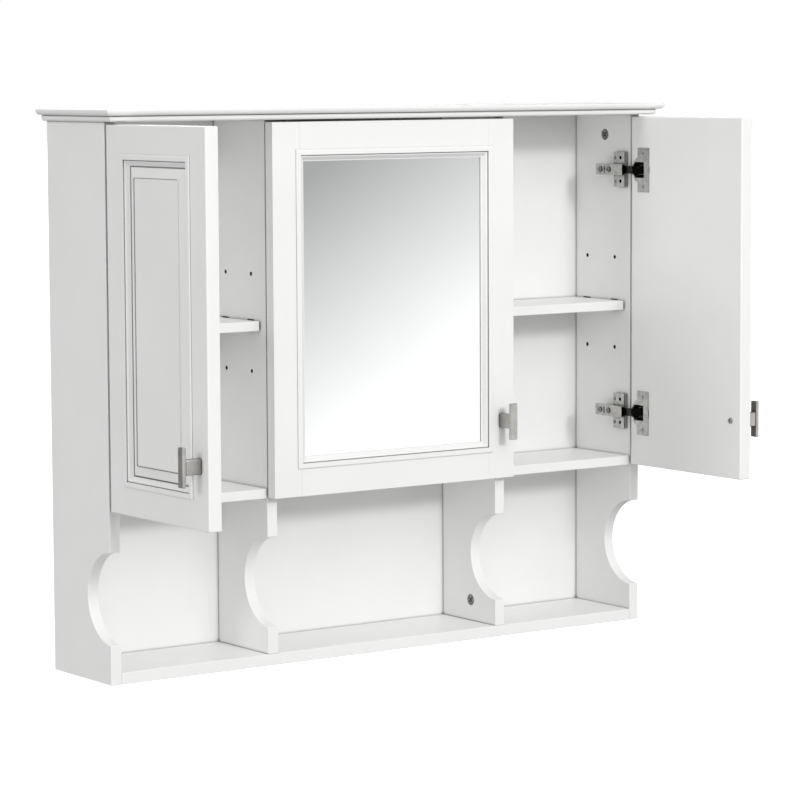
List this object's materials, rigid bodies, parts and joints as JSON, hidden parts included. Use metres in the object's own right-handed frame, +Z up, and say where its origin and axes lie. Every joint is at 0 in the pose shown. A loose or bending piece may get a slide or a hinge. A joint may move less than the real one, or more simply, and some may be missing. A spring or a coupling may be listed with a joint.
{
  "type": "medicine cabinet",
  "caption": "Wide wall-hung medicine cabinet with a framed mirror door between raised-panel doors on cup hinges, shelved cupboards, and an open row of compartments below with rounded cut-outs.",
  "frame": {"origin": "on the wall plane, at the middle of the underside of the base board", "axes": "+X to the right seen from the front, +Y into the wall (the doors face -Y), +Z up; at rest the left and right doors stand open 90 degrees and the mirror door is closed"},
  "size_m": [0.894, 0.374, 0.71],
  "materials": {
    "white_lacquered_wood": "opaque white satin lacquer",
    "brushed_nickel": "brushed nickel plate",
    "nickel_plated_steel": "bright nickel plate",
    "zinc_plated_steel": "zinc plate",
    "dark_steel": "dark plate",
    "cast_zinc": "as cast, satin",
    "beech": "bare",
    "silvered_glass": "polished, silvered on the back",
    "hardboard": "bare hardboard"
  },
  "bodies": {
    "cabinet": {"left_side_panel": "white_lacquered_wood", "right_side_panel": "white_lacquered_wood", "left_divider": "white_lacquered_wood", "right_divider": "white_lacquered_wood", "base_board": "white_lacquered_wood", "crown_board": "white_lacquered_wood", "left_fixed_shelf": "white_lacquered_wood", "middle_fixed_shelf": "white_lacquered_wood", "right_fixed_shelf": "white_lacquered_wood", "back_panel": "white_lacquered_wood", "hanging_rail": "white_lacquered_wood", "lower_rail": "white_lacquered_wood", "keyhole_plates": "zinc_plated_steel", "keyhole_screws": "zinc_plated_steel", "left_shelf": "white_lacquered_wood", "middle_shelf": "white_lacquered_wood", "right_shelf": "white_lacquered_wood", "shelf_supports": "dark_steel", "cam_locks": "cast_zinc", "cam_bolts": "zinc_plated_steel", "dowels": "beech", "left_hinge_plates": "nickel_plated_steel", "middle_hinge_plates": "nickel_plated_steel", "right_hinge_plates": "nickel_plated_steel", "left_hinge_arms": "nickel_plated_steel", "middle_hinge_arms": "nickel_plated_steel", "right_hinge_arms": "nickel_plated_steel", "hinge_links": "dark_steel", "hinge_plate_screws": "zinc_plated_steel", "hinge_arm_screws": "zinc_plated_steel"},
    "left_door": {"left_door_panel": "white_lacquered_wood", "left_door_moulding": "white_lacquered_wood", "left_hinge_cups": "nickel_plated_steel", "left_hinge_pins": "nickel_plated_steel", "left_cup_screws": "zinc_plated_steel", "left_handle_bar": "brushed_nickel", "left_handle_post": "brushed_nickel", "left_handle_screw": "zinc_plated_steel"},
    "middle_door": {"mirror_door_stiles": "white_lacquered_wood", "mirror_door_rails": "white_lacquered_wood", "mirror_moulding": "white_lacquered_wood", "mirror_glass": "silvered_glass", "mirror_backing": "hardboard", "mirror_retainers": "zinc_plated_steel", "middle_hinge_cups": "nickel_plated_steel", "middle_hinge_pins": "nickel_plated_steel", "middle_cup_screws": "zinc_plated_steel", "middle_handle_bar": "brushed_nickel", "middle_handle_post": "brushed_nickel", "middle_handle_screw": "zinc_plated_steel"},
    "right_door": {"right_door_panel": "white_lacquered_wood", "right_door_moulding": "white_lacquered_wood", "right_hinge_cups": "nickel_plated_steel", "right_hinge_pins": "nickel_plated_steel", "right_cup_screws": "zinc_plated_steel", "right_handle_bar": "brushed_nickel", "right_handle_post": "brushed_nickel", "right_handle_screw": "zinc_plated_steel"}
  },
  "joints": [
    {"name": "left_door_hinge", "type": "hinge", "parent": "cabinet", "child": "left_door", "pos_m": [-0.412, -0.154, 0.4545], "axis": [0, 0, -1], "range_deg": [-90, 10]},
    {"name": "middle_door_hinge", "type": "hinge", "parent": "cabinet", "child": "middle_door", "pos_m": [-0.1815, -0.154, 0.4545], "axis": [0, 0, -1], "range_deg": [0, 100]},
    {"name": "right_door_hinge", "type": "hinge", "parent": "cabinet", "child": "right_door", "pos_m": [0.412, -0.154, 0.4545], "axis": [0, 0, 1], "range_deg": [-90, 10]}
  ]
}
